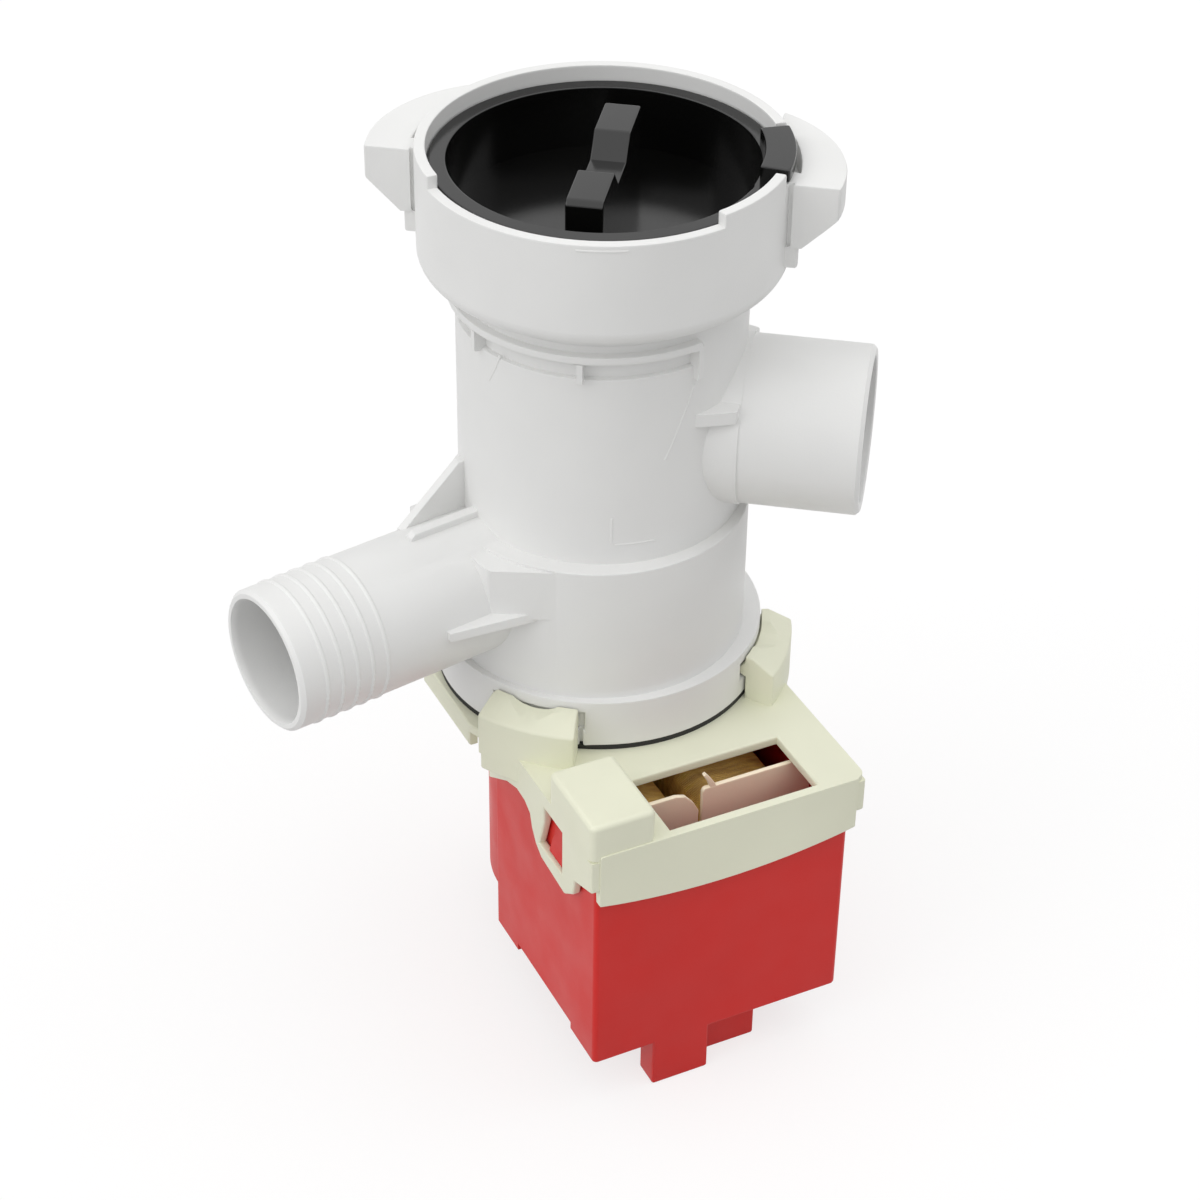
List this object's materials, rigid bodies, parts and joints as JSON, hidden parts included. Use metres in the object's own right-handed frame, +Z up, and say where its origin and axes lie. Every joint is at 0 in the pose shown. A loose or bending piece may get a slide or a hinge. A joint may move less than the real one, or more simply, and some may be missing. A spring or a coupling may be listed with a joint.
{
  "type": "washer drain pump",
  "caption": "Washing machine drain pump: white filter housing with side inlet and outlet spigots, black screw-in filter cap, clip-on motor with red cover and coils seen in a window.",
  "frame": {"origin": "on the pump axis, in the plane of the feet", "axes": "+Z up the pump axis towards the filter cap, -Y towards the motor cover's front face with the coil window, +X completes the frame"},
  "size_m": [0.141, 0.108, 0.2001],
  "materials": {
    "housing_white": "satin moulded",
    "basket_white": "satin moulded",
    "plate_cream": "satin moulded",
    "cover_red": "semi-gloss moulded",
    "cap_black": "gloss moulded",
    "seal_rubber": "matt",
    "lamination": "varnished sheet edges",
    "bobbin_salmon": "satin moulded",
    "copper": "enamelled wire",
    "tinned_brass": "tinned",
    "ferrite": "ground",
    "rotor_plastic": "satin moulded",
    "steel": "ground",
    "bearing_carbon": "sintered carbon",
    "washer_plastic": "satin",
    "driver_plastic": "semi-gloss moulded"
  },
  "bodies": {
    "base": {"pump_housing": "housing_white", "flange_gasket": "seal_rubber", "motor_plate": "plate_cream", "motor_cover": "cover_red", "pole_left": "lamination", "pole_right": "lamination", "stator_yoke": "lamination", "bobbin_left": "bobbin_salmon", "bobbin_right": "bobbin_salmon", "coil_left": "copper", "coil_right": "copper", "turns_left": "copper", "turns_right": "copper", "terminal_left": "tinned_brass", "terminal_right": "tinned_brass", "rear_grommet": "seal_rubber", "rear_bearing": "bearing_carbon", "front_bearing": "bearing_carbon", "bearing_carrier": "rotor_plastic", "carrier_seal": "seal_rubber"},
    "rotor": {"rotor_magnet": "ferrite", "rotor_hub": "rotor_plastic", "rotor_shaft": "steel", "rear_washer": "washer_plastic", "front_washer": "washer_plastic", "clutch_driver": "driver_plastic", "shaft_clip": "steel"},
    "impeller": {"impeller": "basket_white", "impeller_nose": "basket_white"},
    "filter_insert": {"filter_cap": "cap_black", "cap_seal": "seal_rubber", "filter_basket": "basket_white"}
  },
  "joints": [
    {"name": "rotor_spin", "type": "hinge", "parent": "base", "child": "rotor", "pos_m": [0, 0, 0.044], "axis": [0, 0, 1], "continuous": true},
    {"name": "impeller_play", "type": "hinge", "parent": "rotor", "child": "impeller", "pos_m": [0, 0, 0.088], "axis": [0, 0, 1], "range_deg": [-140, 140]},
    {"name": "filter_lift", "type": "slide", "parent": "base", "child": "filter_insert", "axis": [0, 0, 1], "range_m": [0, 0.085]}
  ]
}
